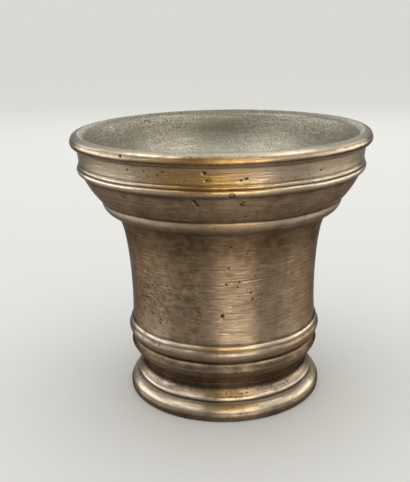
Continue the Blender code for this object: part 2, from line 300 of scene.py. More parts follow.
def castSkin(s):
    made, tree = newMaterial("castBronzeSkin")
    place = addNode(tree, "ShaderNodeTexCoord").outputs["Object"]
    # wear and grime here also carry the light and shade painted in the bowl
    wearAndLight, grimeAndShade = (addNode(tree, "ShaderNodeAttribute", attribute_name=name).outputs["Fac"]
                   for name in ("wearAndLight", "grimeAndShade"))
    across, along = 1 / (s["scoreWidth"] * 2 * mm), 1 / (s["scoreLength"] * mm)
    scorePlace = addNode(tree, "ShaderNodeMapping", {"Vector": place, "Scale": (along, along, across)})
    score = addNode(tree, "ShaderNodeTexNoise", {"Vector": scorePlace, "Scale": 1.0, "Detail": 3.0,
                                                 "Roughness": 0.65})
    grain = addNode(tree, "ShaderNodeTexNoise", {"Vector": place, "Scale": 1 / (s["grain"] * 2 * mm),
                                                 "Detail": 4.0, "Roughness": 0.6})
    cloud = addNode(tree, "ShaderNodeTexNoise", {"Vector": place, "Scale": 1 / (s["cloud"] * mm),
                                                 "Detail": 3.0, "Roughness": 0.55})

    # sandy grain, evened out in clouds, paler in the scores, where the pestle works and where light is
    # painted, darkest where shade is painted
    colour = addNode(tree, "ShaderNodeValToRGB", {"Fac": grain},
                     stops=[(0.34, s["deep"]), (0.50, s["skin"]), (0.66, s["pale"])])
    cloudShare = addNode(tree, "ShaderNodeMapRange", {"Value": cloud, "From Min": 0.35, "From Max": 0.70,
                                                      "To Max": 0.45})
    scoreShare = addNode(tree, "ShaderNodeMapRange", {"Value": score, "From Min": 0.50, "From Max": 0.72,
                                                      "To Max": 0.70})
    wearAndLightShare = addNode(tree, "ShaderNodeMath", {0: wearAndLight, 1: 0.6}, operation="MULTIPLY")
    grimeAndShadeShare = addNode(tree, "ShaderNodeMath", {0: grimeAndShade, 1: 0.82}, operation="MULTIPLY")
    for share, over in ((cloudShare, "skin"), (scoreShare, "pale"), (wearAndLightShare, "pale"),
                        (grimeAndShadeShare, "deep")):
        colour = addNode(tree, "ShaderNodeMix", {"Factor": share, "A": colour, "B": toLinear(s[over])},
                         data_type="RGBA")

    # black pores left by the mould, in patches
    patch = addNode(tree, "ShaderNodeTexNoise", {"Vector": place, "Scale": 1 / (s["porePatch"] * mm),
                                                 "Detail": 1.0})
    cells = addNode(tree, "ShaderNodeTexVoronoi", {"Vector": place, "Scale": 1 / (s["pore"] * 2 * mm)},
                    feature="F1")
    size = addNode(tree, "ShaderNodeMapRange", {"Value": patch, "From Min": 0.45, "From Max": 0.70,
                                                "To Max": 0.26})
    pore = addNode(tree, "ShaderNodeMath", {0: size, 1: cells}, operation="SUBTRACT")
    pore = addNode(tree, "ShaderNodeMapRange", {"Value": pore, "From Max": 0.06, "To Max": 0.85})
    colour = addNode(tree, "ShaderNodeMix", {"Factor": pore, "A": colour, "B": toLinear(s["black"])},
                     data_type="RGBA")

    rough = addNode(tree, "ShaderNodeMapRange", {
        "Value": grain, "From Min": 0.3, "From Max": 0.7, "To Min": s["roughness"] + 0.10,
        "To Max": s["roughness"] - 0.08})
    height = addNode(tree, "ShaderNodeMath", {0: score, 1: 1.2, 2: grain}, operation="MULTIPLY_ADD")
    bump = addNode(tree, "ShaderNodeBump", {"Height": height, "Strength": 0.95,
                                            "Distance": s["markDepth"] * mm})
    shader = addNode(tree, "ShaderNodeBsdfPrincipled", {
        "Base Color": colour, "Metallic": 0.85, "Roughness": rough, "Normal": bump})
    addNode(tree, "ShaderNodeOutputMaterial", {"Surface": shader})
    return made


# drawn bronze rod, filed across: a paler yellow than the casting, with fine strokes. Real ones are too fine
# to show, so these are drawn coarser.
filedRodSet = {"metal": "#8a7050", "deep": "#4b3a28", "roughness": 0.42, "strokeWidth": 0.25,
               "strokeLength": 16.667, "strokeTurn": 35.0, "tarnish": 1.2, "markDepth": 0.03}


def filedRod(s):
    made, tree = newMaterial("filedBronzeRod")
    place = addNode(tree, "ShaderNodeTexCoord").outputs["Object"]
    across, along = 1 / (s["strokeWidth"] * 2 * mm), 1 / (s["strokeLength"] * mm)
    strokePlace = addNode(tree, "ShaderNodeMapping", {
        "Vector": place, "Rotation": (0.0, math.radians(s["strokeTurn"]), 0.0),
        "Scale": (along, along, across)})
    stroke = addNode(tree, "ShaderNodeTexNoise", {"Vector": strokePlace, "Scale": 1.0, "Detail": 2.0})
    tarnish = addNode(tree, "ShaderNodeTexNoise", {"Vector": place, "Scale": 1 / (s["tarnish"] * mm),
                                                   "Detail": 2.0})
    colour = addNode(tree, "ShaderNodeValToRGB", {"Fac": tarnish},
                     stops=[(0.35, s["deep"]), (0.58, s["metal"])])
    rough = addNode(tree, "ShaderNodeMapRange", {"Value": stroke, "To Min": s["roughness"] - 0.06,
                                                 "To Max": s["roughness"] + 0.14})
    bump = addNode(tree, "ShaderNodeBump", {"Height": stroke, "Strength": 0.4,
                                            "Distance": s["markDepth"] * mm})
    shader = addNode(tree, "ShaderNodeBsdfPrincipled", {
        "Base Color": colour, "Metallic": 1.0, "Roughness": rough, "Normal": bump})
    addNode(tree, "ShaderNodeOutputMaterial", {"Surface": shader})
    return made


turned = turnedBronze(turnedBronzeSet)
cast = castSkin(castSkinSet)
filed = filedRod(filedRodSet)
print("materials made")


# the casting: one half section spun round, then worn, pimpled and pitted

mortarSet = {
    "height": 130.0, "rings": 240, "bowlSteps": 24, "bodySteps": 34, "seed": 11,
    # rim and neck band, from the top
    "mouthRadius": 66.5, "rimRadius": 72.8, "rimRoll": 3.0, "lipWidth": 4.8,
    "bandRadius": 70.3, "bandTaper": 1.2, "bandHeight": 7.6, "bandHollow": 0.3,
    "fineGroove": 0.6, "filletHeight": 1.1, "beadHeight": 3.4, "beadRadius": 70.0,
    # the flare's underside, the slanting bead and the waisted body
    "flareTop": 67.8, "flareFoot": 59.6, "flareHeight": 13.0, "flareSwell": 0.7,
    "slantRadius": 52.9, "slantHeight": 7.1, "slantSwell": 1.7, "slantNotch": 0.6,
    "bodyTop": 52.3, "waist": 45.5, "waistHeight": 46.0, "bodyFoot": 45.8,
    "bodyFlare": ((0.66, 2), (0.34, 10)),  # shares of a slow curve and of a late, sharp one, by their powers
    # the foot's mouldings
    "collarTop": 36.8, "collarRadius": 46.8, "roundTop": 34.3, "roundBottom": 28.1, "roundRadius": 47.7,
    "roundEnds": 44.6, "ovoloTop": 26.8, "ovoloTopRadius": 45.5, "ovoloRadius": 46.6,
    "scotiaTop": 19.4, "scotiaRadius": 42.7, "scotiaHollow": 1.9,
    "lipTop": 9.8, "lipBottom": 8.3, "lipRadius": 43.8, "ledgeHeight": 7.0, "ledgeRadius": 44.9,
    "edgeHeight": 4.2, "edgeRadius": 47.0, "baseRadius": 47.6,
    # the underside and the hollow
    "restRadius": 46.8, "restInner": 37.5, "restHeight": 4.0, "recessRadius": 34.5, "recessDepth": 3.5,
    "centreRadius": 1.6, "centreDepth": 0.9,
    "floor": 19.0, "boreRadius": 36.4, "boreHeight": 54.0, "throatRadius": 39.2, "throatHeight": 80.0,
    "throatLean": 1.4, "throatPull": 20.0, "mouthLean": 5.0, "mouthPull": 22.0,
    # how far the smaller members swell out between their ends, or go in where it is negative
    "swell": {"bore": 0.4, "lip": 0.3, "crown": 0.1, "rollOver": 0.75, "rollUnder": 0.97, "fillet": 0.1,
              "beadOver": 0.3, "beadUnder": 0.6, "collar": 0.4, "roundOver": 0.2, "roundUnder": 0.8,
              "ovoloEdge": 0.1, "ovolo": 0.2, "ovoloUnder": 0.6, "ledge": -0.2, "edge": 0.3, "base": 0.25,
              "recess": -0.6},
    # unevenness: depths in millimetres, and how many pimples, scores and wavers to the metre
    "castDepth": 0.22, "coarsePimples": 240, "finePimples": 520, "longScores": (30, 300),
    "waver": 0.05, "wavers": 38,
    "nickCount": 26, "nickHeights": (129.9, 128.0, 112.6, 96.5, 34.0, 5.0, 2.0), "nickRadius": (1.4, 3.2),
    "nickDepth": (0.06, 0.16),
    # how far each height outside is rubbed clean, from 0 to 1, and how much grime it keeps; these also paint
    # highlights on the upward-facing members and shade on the downward-facing ones
    "wearAndHighlight": [(130.0, 0.95), (128.6, 0.90), (127.9, 0.40), (127.4, 0.60), (126.7, 0.55), (126.3, 0.15),
               (125.6, 0.05), (124.6, 0.14), (123.4, 0.36), (119.0, 0.40), (117.1, 0.42), (116.6, 0.30),
               (115.5, 0.56), (114.6, 0.50), (114.3, 0.40), (113.6, 0.64), (112.8, 0.40), (112.0, 0.12),
               (108.0, 0.14), (99.0, 0.09), (97.4, 0.12), (97.0, 0.52), (95.7, 0.48), (95.1, 0.20),
               (90.6, 0.05), (82.0, 0.05), (66.0, 0.14), (46.0, 0.18), (38.0, 0.20), (36.6, 0.20),
               (36.0, 0.66), (34.8, 0.52), (34.2, 0.38), (33.2, 0.26), (31.5, 0.18), (29.5, 0.10),
               (28.0, 0.05), (26.9, 0.18), (26.2, 0.02), (22.0, 0.14), (19.0, 0.06), (16.8, 0.0),
               (16.0, 0.08), (15.0, 0.04), (14.0, 0.04), (13.2, 0.14), (12.4, 0.30), (10.4, 0.36),
               (9.2, 0.56), (8.0, 0.20), (7.0, 0.60), (5.0, 0.70), (4.2, 0.28), (2.5, 0.04), (0.8, 0.02)],
    "dirtAndShade": [(130.0, 0.0), (128.4, 0.0), (128.1, 0.28), (127.6, 0.28), (127.3, 0.0), (126.6, 0.05),
              (126.0, 0.45), (125.5, 0.80), (125.0, 0.25), (123.8, 0.12), (123.3, 0.0), (117.4, 0.0),
              (116.6, 0.25), (116.0, 0.0), (114.8, 0.0), (114.3, 0.25), (113.8, 0.0), (112.6, 0.05),
              (111.4, 0.30), (110.4, 0.45), (108.0, 0.10), (99.5, 0.10), (97.7, 0.55), (97.2, 0.0),
              (94.8, 0.05), (94.2, 0.20), (90.7, 0.40), (88.0, 0.34), (82.0, 0.32), (72.0, 0.06), (60.0, 0.0),
              (40.0, 0.0), (37.2, 0.10), (36.7, 0.45), (36.2, 0.0), (33.8, 0.28), (32.8, 0.25), (30.0, 0.08),
              (28.4, 0.30), (27.7, 0.80), (27.2, 0.30), (26.8, 0.10), (26.2, 0.50), (24.0, 0.48),
              (22.0, 0.18), (19.8, 0.15), (18.6, 0.62), (17.8, 0.40), (17.0, 0.75), (16.2, 0.55),
              (15.2, 0.75), (14.0, 0.85), (13.2, 0.50), (12.4, 0.16), (10.5, 0.05), (8.8, 0.2), (8.2, 0.7),
              (7.2, 0.1), (5.0, 0.05), (4.0, 0.40), (2.5, 0.50), (1.2, 0.60), (0.0, 0.8)],
    "edgeWear": 0.8, "hollowGrime": 0.45,  # what sharp edges and hollows add to those
    "recessGrime": 0.35,  # what the recess underneath keeps
    # polished through to yellow metal, and at the front a warm reflection painted in that yellow: degrees,
    # height, how far round, how far up, how much
    "polishedAndReflecting": [(-2, 120, 14, 4.5, 0.9), (-19, 120, 8, 4.5, 0.6), (0, 41.6, 6, 0.4, 0.9),
                 (-3, 127.0, 24, 1.6, 1.0), (-2, 114.8, 22, 2.2, 1.0), (0, 35.0, 20, 1.6, 0.9),
                 (2, 11.6, 16, 1.8, 1.0), (3, 6.2, 18, 1.6, 0.8), (0, 96.0, 18, 1.4, 0.7),
                 (-42, 23, 12, 4, 0.4), (44, 23, 12, 4, 0.4), (48, 31, 16, 2.5, 0.8), (150, 121, 26, 4, 0.8),
                 (210, 96, 24, 1.5, 0.6), (185, 12.5, 20, 3, 0.6), (95, 127, 20, 1.5, 0.6),
                 (265, 119, 18, 4, 0.5)],
    # the level below is also used where the front's warm reflection is painted as bare yellow metal
    "bareUnderPolishAndReflection": 0.36,  # how bare the metal is where it is polished
    # wear in the bowl by height, brightest low down where the pestle works, with light painted on the lip and
    # on a band of the far wall
    "poundedAndLit": [(130.0, 0.30), (129.0, 0.25), (126.0, 0.25), (122.0, 0.05), (113.0, 0.28), (110.0, 0.50),
                (106.0, 0.40), (100.0, 0.22), (70.0, 0.15), (45.0, 0.45), (30.0, 0.90), (19.0, 1.00)],
    # painted shade in the bowl by height, darkest under the mouth
    "paintedShadeUnderMouth": [(130.0, 0.15), (129.4, 0.65), (127.5, 0.70), (126.0, 0.64), (124.5, 0.88), (122.5, 1.0),
               (119.0, 1.0), (116.5, 0.80), (113.5, 0.50), (110.5, 0.20), (106.0, 0.15), (80.0, 0.40),
               (50.0, 0.20), (30.0, 0.0), (19.0, 0.0)],
    # the mouth's left and right are lit, so less shade is painted there
    "paintedShadeOffAtSides": 0.68,  # how much of that darkness is gone at the mouth's left and right
    # darker, more pitted places on the outside, and near the front painted shade: degrees, height, how far
    # round, how far up, how much
    # the painted shade: dark bands beside the body's highlight, darker fronts of the rim's underside, the
    # ovolo, the step and the base
    "stainedAndShaded": [(-58, 52, 20, 16, 1.0), (-40, 58, 16, 18, 0.8), (-20, 50, 10, 8, 0.5), (-38, 84, 16, 8, 0.5),
                (-32, 14, 14, 3, 1.5), (34, 14, 12, 3, 1.2), (2, 12.4, 18, 2.4, 1.6), (-18, 62, 6, 20, 1.1),
                (2, 22, 18, 4, 2.0), (2, 5.5, 20, 3, 0.3), (-2, 128, 16, 1.8, 0.8), (21, 60, 4, 20, 0.9),
                (10, 60, 6, 16, 0.35), (-10, 107, 8, 4, 0.8), (8, 108, 5, 3, 0.8), (28, 118, 14, 4, 0.5),
                (-25, 119, 14, 4, 0.6), (50, 20, 14, 8, 0.6), (105, 55, 20, 18, 0.7), (140, 104, 24, 6, 0.7),
                (170, 66, 18, 22, 0.9), (215, 48, 16, 12, 0.8), (250, 80, 24, 12, 0.5),
                (200, 30, 20, 8, 0.5)],
    # where the lathe's rings and stray scores run deepest, the same way
    "scored": [(4, 57, 13, 20, 1.0), (45, 78, 14, 6, 0.7), (-6, 120, 20, 5, 0.6), (100, 62, 18, 16, 0.8),
               (195, 70, 24, 16, 0.9), (280, 54, 18, 18, 0.7)],
    # pores and dents seen in the photograph: degrees round from the front, height, radius, depth
    "pits": [(1.7, 66.0, 0.75, 0.45), (9.1, 67.0, 0.55, 0.35), (8.2, 64.6, 0.55, 0.35),
             (-1.0, 50.9, 1.10, 0.75), (4.4, 84.0, 0.60, 0.35), (3.0, 73.9, 0.55, 0.30),
             (15.7, 61.4, 0.60, 0.30), (16.9, 58.2, 0.65, 0.30), (-5.7, 121.7, 0.95, 0.55),
             (-5.1, 118.4, 0.70, 0.40), (8.5, 118.8, 0.80, 0.40), (6.6, 118.2, 0.65, 0.35),
             (-34.1, 121.3, 0.60, 0.35), (-9.8, 109.1, 0.95, 0.35), (-8.7, 107.2, 1.10, 0.40),
             (-9.3, 108.2, 0.70, 0.30), (7.8, 108.4, 0.70, 0.35), (7.1, 107.3, 0.85, 0.45),
             (9.3, 101.1, 0.70, 0.35), (-35.0, 127.4, 0.80, 0.40)],
    "pitCuts": 3, "pitRagged": 0.45, "pitGrime": 1.2,
    # and smaller ones at the sides and back: how many, between which degrees and heights
    "strayPits": 40, "strayTurn": (22, 340), "strayHeights": ((38, 90), (99, 110), (118, 123)),
    "strayRadius": (0.40, 0.80), "strayDepth": 0.5,
}


def between(table, z):
    for (highZ, high), (lowZ, low) in zip(table, table[1:]):
        if z >= lowZ:
            share = (z - lowZ) / max(highZ - lowZ, 1e-6)
            return low + (high - low) * min(max(share, 0.0), 1.0)
    return table[-1][1]


def mortarOutline(s):
    # the half section from the middle of the bowl's floor round to the middle of the underside
    inner, outer, fine, tight = 2.0, 1.5, 0.5, 0.35  # how far apart the points are
    swell = s["swell"]
    depth = s["boreHeight"] - s["floor"]
    points = []
    for i in range(s["bowlSteps"] + 1):
        turn = math.pi / 2 * i / s["bowlSteps"]
        points.append((s["boreRadius"] * math.sin(turn), s["boreHeight"] - depth * math.cos(turn)))
    points += arcPoints(points[-1], (s["throatRadius"], s["throatHeight"]), swell["bore"], inner)
    # the flared mouth sets off leaning out a little more than the bore, and turns up towards the rim
    slope = (s["throatRadius"] - s["boreRadius"]) / (s["throatHeight"] - s["boreHeight"]) * s["throatLean"]
    mouthHeight = s["height"] - s["rimRoll"]
    points += bendPoints(
        points[-1], (s["throatRadius"] + s["throatPull"] * slope, s["throatHeight"] + s["throatPull"]),
        (s["mouthRadius"] - s["mouthLean"], mouthHeight - s["mouthPull"]),
        (s["mouthRadius"], mouthHeight), inner)

    # rolled rim; the lathe's work starts near its crown
    bandTop = s["height"] - 2 * s["rimRoll"] - 0.1
    points += arcPoints(points[-1], (s["rimRadius"] - s["lipWidth"], s["height"] - 0.7), swell["lip"], fine)
    points += arcPoints(points[-1], (s["rimRadius"] - s["rimRoll"], s["height"]), swell["crown"], fine)
    innerCount = len(points) - 1
    rollMiddle = s["height"] - s["rimRoll"] * 0.9
    points += arcPoints(points[-1], (s["rimRadius"], rollMiddle), swell["rollOver"], tight)
    points += arcPoints(points[-1], (s["bandRadius"] + 0.6, bandTop), swell["rollUnder"], tight)

    # band, fine groove, fillet, groove, neck bead
    bandFoot = bandTop - s["bandHeight"]
    bandFootRadius = s["bandRadius"] - s["bandTaper"]
    groove, fillet = bandFootRadius - s["fineGroove"] * 0.6, bandFootRadius + 0.2
    filletTop = bandFoot - s["fineGroove"]
    filletFoot = filletTop - s["filletHeight"]
    beadTop = filletFoot - s["fineGroove"] * 0.5
    beadFoot = beadTop - s["beadHeight"]
    points += [(s["bandRadius"] + 0.1, bandTop - 0.3)]
    points += arcPoints(points[-1], (bandFootRadius, bandFoot), -s["bandHollow"], 0.8)
    points += [(groove, bandFoot - s["fineGroove"] * 0.5), (fillet, filletTop)]
    points += arcPoints(points[-1], (fillet, filletFoot), swell["fillet"], fine)
    points += [(groove + 0.1, filletFoot - s["fineGroove"] * 0.25), (fillet, beadTop)]
    beadMiddle = beadFoot + s["beadHeight"] * 0.62
    points += arcPoints(points[-1], (s["beadRadius"], beadMiddle), swell["beadOver"], 0.3)
    points += arcPoints(points[-1], (s["flareTop"], beadFoot), swell["beadUnder"], 0.3)

    # flare and slanting bead
    flareFoot = beadFoot - s["flareHeight"]
    slantFoot = flareFoot - s["slantHeight"]
    points += arcPoints(points[-1], (s["flareFoot"], flareFoot + s["slantNotch"] * 0.5), s["flareSwell"],
                        outer)
    points += [(s["flareFoot"] - s["slantNotch"], flareFoot)]
    points += arcPoints(points[-1], (s["slantRadius"], slantFoot), s["slantSwell"], 0.5)

    # waisted body
    top = slantFoot - 0.4
    for i in range(s["bodySteps"] + 1):
        z = top - (top - s["collarTop"]) * (i / s["bodySteps"]) ** 1.4
        if z >= s["waistHeight"]:
            t = (z - s["waistHeight"]) / (top - s["waistHeight"])
            flare = sum(share * t ** power for share, power in s["bodyFlare"])
            radius = s["waist"] + (s["bodyTop"] - s["waist"]) * flare
        else:
            t = (s["waistHeight"] - z) / (s["waistHeight"] - s["collarTop"])
            radius = s["waist"] + (s["bodyFoot"] - s["waist"]) * t * t
        points.append((radius, z))

    # foot mouldings, with steps of a few tenths where one member meets the next
    points += arcPoints(points[-1], (s["collarRadius"], s["roundTop"] + 0.2), swell["collar"], fine)
    points += [(s["collarRadius"] - 0.15, s["roundTop"] + 0.05), (s["collarRadius"], s["roundTop"] - 0.12)]
    roundMiddle = (s["roundBottom"] + s["roundTop"]) / 2 + 1.2
    points += arcPoints(points[-1], (s["roundRadius"], roundMiddle), swell["roundOver"], tight)
    points += arcPoints(points[-1], (s["roundEnds"], s["roundBottom"]), swell["roundUnder"], tight)
    points += [(s["roundEnds"] - 0.2, s["roundBottom"] - 0.4)]
    points += arcPoints(points[-1], (s["ovoloTopRadius"], s["ovoloTop"]), swell["ovoloEdge"], fine)
    points += arcPoints(points[-1], (s["ovoloRadius"], s["ovoloTop"] - 2.6), swell["ovolo"], fine)
    points += arcPoints(points[-1], (s["scotiaRadius"], s["scotiaTop"]), swell["ovoloUnder"], fine)
    points += arcPoints(points[-1], (s["lipRadius"] - 0.1, s["lipTop"]), -s["scotiaHollow"], 0.6)
    points += [(s["lipRadius"], s["lipBottom"] + 0.4), (s["lipRadius"] - 0.6, s["lipBottom"])]
    points += arcPoints(points[-1], (s["ledgeRadius"], s["ledgeHeight"]), swell["ledge"], fine)
    points += arcPoints(points[-1], (s["edgeRadius"], s["edgeHeight"]), swell["edge"], fine)
    points += arcPoints(points[-1], (s["baseRadius"], s["edgeHeight"] / 2), swell["base"], fine)
    points += [(s["baseRadius"] - 0.1, 0.7), (s["restRadius"], 0.0)]

    # underside
    points += arcPoints(points[-1], (s["restInner"], 0.0), 0.0, 2.4)
    points += arcPoints(points[-1], (s["recessRadius"], s["recessDepth"]), swell["recess"], 0.8)
    points += arcPoints(points[-1], (s["centreRadius"], s["recessDepth"]), 0.0, 3.0)
    points += [(0.0, s["recessDepth"] + s["centreDepth"])]
    return points, innerCount


def curvature(points, reach=0.7):
    # how far each point stands proud of (+) or back from (-) the line between those reach mm either way,
    # as a share of reach
    spots = [Vector(p) for p in points]
    found = []
    for i, spot in enumerate(spots):
        a = b = i
        while a > 0 and (spots[a] - spot).length < reach:
            a -= 1
        while b < len(spots) - 1 and (spots[b] - spot).length < reach:
            b += 1
        ahead = (spots[b] - spots[a]).normalized()
        outward = Vector((-ahead.y, ahead.x))
        found.append((spot - (spots[a] + spots[b]) / 2).dot(outward) / reach)
    return found


def outsideSpot(points, innerCount, degrees, z):
    # the place on the outside at this height, and the way out of the metal there
    for (ra, za), (rb, zb) in zip(points[innerCount:], points[innerCount + 1:]):
        if zb <= z <= za and za > zb:
            radius = ra + (rb - ra) * (za - z) / (za - zb)
            slope = Vector((rb - ra, zb - za)).normalized()
            turn = math.radians(degrees)
            around = Vector((math.sin(turn), -math.cos(turn), 0.0))
            return (around * radius + Vector((0, 0, z))) * mm, (around * -slope.y + Vector((0, 0, slope.x)))
    return None


def spinSection(s, points, innerCount):
    # the half section, each point with its wear and painted light, grime and painted shade, spun round the
    # axis
    bm = bmesh.new()
    wearAndLight, grimeAndShade, inside = (bm.verts.layers.float.new(name) for name in ("wearAndLight", "grimeAndShade", "inside"))
    chain = []
    for i, ((radius, z), bend) in enumerate(zip(points, curvature(points))):
        vert = bm.verts.new((0.0, radius * mm, z * mm))
        edge, hollow = max(bend - 0.05, 0.0), max(-bend - 0.06, 0.0)
        if i < innerCount:
            vert[inside] = min(1.0, 0.15 + (innerCount - 1 - i) / 4)
            vert[wearAndLight], vert[grimeAndShade] = between(s["poundedAndLit"], z), between(s["paintedShadeUnderMouth"], z)
        elif z < s["restHeight"] and radius < s["restInner"] + 0.5:
            vert[wearAndLight], vert[grimeAndShade] = 0.0, s["recessGrime"] + hollow
        else:
            # by height, wear is partly painted highlight and grime partly painted shade
            vert[wearAndLight] = min(1.0, between(s["wearAndHighlight"], z) + edge * s["edgeWear"])
            vert[grimeAndShade] = min(1.0, between(s["dirtAndShade"], z) + hollow * s["hollowGrime"])
        chain.append(vert)
    for a, b in zip(chain, chain[1:]):
        bm.edges.new((a, b))
    bmesh.ops.spin(bm, geom=bm.verts[:] + bm.edges[:], cent=(0, 0, 0), axis=(0, 0, 1), dvec=(0, 0, 0),
                   angle=math.tau, steps=s["rings"], use_merge=True)
    bmesh.ops.remove_doubles(bm, verts=bm.verts[:], dist=0.01 * mm)
    bmesh.ops.recalc_face_normals(bm, faces=bm.faces[:])
    for face in bm.faces:
        face.material_index = 1 if all(v[inside] > 0 for v in face.verts) else 0
    return bm


def markPlaces(s, bm):
    # what differs round the casting: stains, painted shade, polish, a painted warm reflection and deep scores
    # outside, less painted shade at the mouth's lit sides
    stainAndShade, polishAndReflection, scored = (bm.verts.layers.float.new(name) for name in ("stainAndShade", "polishAndReflection", "scored"))
    wearAndLight, grimeAndShade, inside = (bm.verts.layers.float[name] for name in ("wearAndLight", "grimeAndShade", "inside"))
    for vert in bm.verts:
        turn, z = math.degrees(math.atan2(vert.co.x, -vert.co.y)), vert.co.z / mm
        if vert[inside] > 0 and z > s["throatHeight"]:
            vert[grimeAndShade] *= 1 - s["paintedShadeOffAtSides"] * math.sin(math.radians(turn)) ** 2
        elif vert[inside] == 0:
            for layer, patches in ((stainAndShade, s["stainedAndShaded"]), (polishAndReflection, s["polishedAndReflecting"]), (scored, s["scored"])):
                for degrees, height, wide, tall, amount in patches:
                    apart = (turn - degrees + 180) % 360 - 180
                    vert[layer] += amount * math.exp(-(apart / wide) ** 2 - ((z - height) / tall) ** 2)
            # polish and the painted reflection even the wear out: less bare on the mouldings' edges, more on
            # the flats
            vert[wearAndLight] += (s["bareUnderPolishAndReflection"] - vert[wearAndLight]) * min(1.0, vert[polishAndReflection])


def placePits(s, points, innerCount, dice):
    # pores: the photographed ones, then smaller ones scattered over the sides and back
    pits = []
    for degrees, z, radius, depth in s["pits"]:
        pits.append((*outsideSpot(points, innerCount, degrees, z), radius * mm, depth * mm))
    while len(pits) < len(s["pits"]) + s["strayPits"]:
        degrees = dice.uniform(*s["strayTurn"])
        z = dice.choice([dice.uniform(low, high) for low, high in s["strayHeights"]])
        spot = outsideSpot(points, innerCount, degrees, z)
        radius = dice.uniform(*s["strayRadius"])
        if spot:
            pits.append((*spot, radius * mm, radius * s["strayDepth"] * mm))
    return pits


def refine(bm, spots, cuts):
    # finer faces round each (place, reach)
    tree = kdtree.KDTree(len(bm.faces))
    bm.faces.ensure_lookup_table()
    for i, face in enumerate(bm.faces):
        tree.insert(face.calc_center_median(), i)
    tree.balance()
    near = {i for place, reach in spots for _, i, _ in tree.find_range(place, reach + 0.9 * mm)}
    # each edge once, and in the same order in every run
    edges = list(dict.fromkeys(e for i in sorted(near) for e in bm.faces[i].edges))
    bmesh.ops.subdivide_edges(bm, edges=edges, cuts=cuts, use_grid_fill=True)


def roughen(s, bm):
    # how far each point moves: pimples and long scores inside, the lathe's slow waver outside
    inside = bm.verts.layers.float["inside"]
    along, across = s["longScores"]
    moves = {}
    for vert in bm.verts:
        p = vert.co
        if vert[inside] > 0:
            rough = (noise.noise(p * s["coarsePimples"]) * 0.55
                     + noise.noise(p * s["finePimples"] + Vector((5, 0, 3))) * 0.45)
            score = noise.noise(Vector((p.x * along, p.y * along, p.z * across)))
            moves[vert] = vert.normal * (rough * 0.7 + score * 0.6) * s["castDepth"] * mm * vert[inside]
        elif p.z > 0.5 * mm and not (p.z < 5 * mm and p.xy.length < s["restInner"] * mm):
            moves[vert] = vert.normal * (noise.noise(p * s["wavers"]) - 1) * s["waver"] / 2 * mm
    return moves


def pressPits(s, bm, verts, tree, pits, moves):
    # ragged hollows, full of dirt
    wearAndLight, grimeAndShade = (bm.verts.layers.float[name] for name in ("wearAndLight", "grimeAndShade"))
    for n, (place, out, radius, depth) in enumerate(pits):
        for _, i, distance in tree.find_range(place, radius * (1 + s["pitRagged"])):
            vert = verts[i]
            away = (vert.co - place).normalized() if distance > 0 else Vector()
            reach = radius * (1 + s["pitRagged"] * noise.noise(away * 1.6 + Vector((n, 0, 0))))
            if distance < reach:
                fall = (1 - (distance / reach) ** 2) ** 1.5
                moves[vert] = moves.get(vert, Vector()) - out * depth * fall
                vert[grimeAndShade] = min(1.0, vert[grimeAndShade] + s["pitGrime"] * fall)
                vert[wearAndLight] *= 1 - fall


def sinkPlugHole(s, bm, verts, tree, plugSpot, plugOut, moves):
    # the points just outside the hole are drawn to its edge, the ones inside it pushed down
    wearAndLight, grimeAndShade = (bm.verts.layers.float[name] for name in ("wearAndLight", "grimeAndShade"))
    hole = (s["radius"] + s["gap"]) * mm
    for _, i, _ in tree.find_range(plugSpot, hole * 2):
        vert = verts[i]
        aside = vert.co - plugSpot
        aside -= plugOut * aside.dot(plugOut)
        distance = aside.length
        if distance < hole:
            moves[vert] = plugOut * -s["holeDepth"] * mm
            vert[grimeAndShade], vert[wearAndLight] = 1.0, 0.0
        elif distance < hole + s["holeEdge"] * mm:
            moves[vert] = aside * (hole / distance - 1)
            vert[grimeAndShade], vert[wearAndLight] = 0.7, 0.0


def knockNicks(s, points, innerCount, verts, tree, dice, moves):
    # shallow nicks in the rim, the beads and the foot
    for _ in range(s["nickCount"]):
        z = dice.choice(s["nickHeights"])
        spot = outsideSpot(points, innerCount, dice.uniform(0, 360), z)
        if spot:
            place, out = spot
            radius, depth = dice.uniform(*s["nickRadius"]) * mm, dice.uniform(*s["nickDepth"]) * mm
            for _, i, distance in tree.find_range(place, radius):
                vert = verts[i]
                moves[vert] = moves.get(vert, Vector()) - out * depth * (1 - (distance / radius) ** 2) ** 2


def buildMortar(s):
    points, innerCount = mortarOutline(s)
    bm = spinSection(s, points, innerCount)
    markPlaces(s, bm)
    dice = random.Random(s["seed"])
    pits = placePits(s, points, innerCount, dice)
    plugSpot, plugOut = plugSeat(plugSet, points, innerCount)
    refine(bm, [(place, radius) for place, _, radius, _ in pits], s["pitCuts"])
    refine(bm, [(plugSpot, (plugSet["radius"] + plugSet["holeReach"]) * mm)], plugSet["holeCuts"])
    bm.normal_update()

    moves = roughen(s, bm)
    verts = list(bm.verts)
    tree = kdtree.KDTree(len(verts))
    for i, vert in enumerate(verts):
        tree.insert(vert.co, i)
    tree.balance()
    pressPits(s, bm, verts, tree, pits, moves)
    sinkPlugHole(plugSet, bm, verts, tree, plugSpot, plugOut, moves)
    knockNicks(s, points, innerCount, verts, tree, dice, moves)
    for vert, move in moves.items():
        vert.co += move
    bm.normal_update()
    print("mortar spun:", len(verts), "points,", len(bm.faces), "faces,", len(pits), "pits")
    return bm, points, innerCount


# the plug that closes the blow hole: a short rod driven in and filed to the bead

plugSet = {"turn": 3.5, "at": 112.12, "radius": 1.0, "length": 2.6, "rounding": 0.15, "segments": 40,
           "faceRings": 4, "faceRing": 0.17, "faceDepth": 0.5,
           # its hole in the casting
           "gap": 0.1, "holeDepth": 0.5, "holeEdge": 0.28, "holeReach": 0.8, "holeCuts": 6}


def plugSeat(s, points, innerCount):
    # where the plug sits on the bead, and its level way out
    turn = math.radians(s["turn"])
    return (outsideSpot(points, innerCount, s["turn"], s["at"])[0],
            Vector((math.sin(turn), -math.cos(turn), 0.0)))


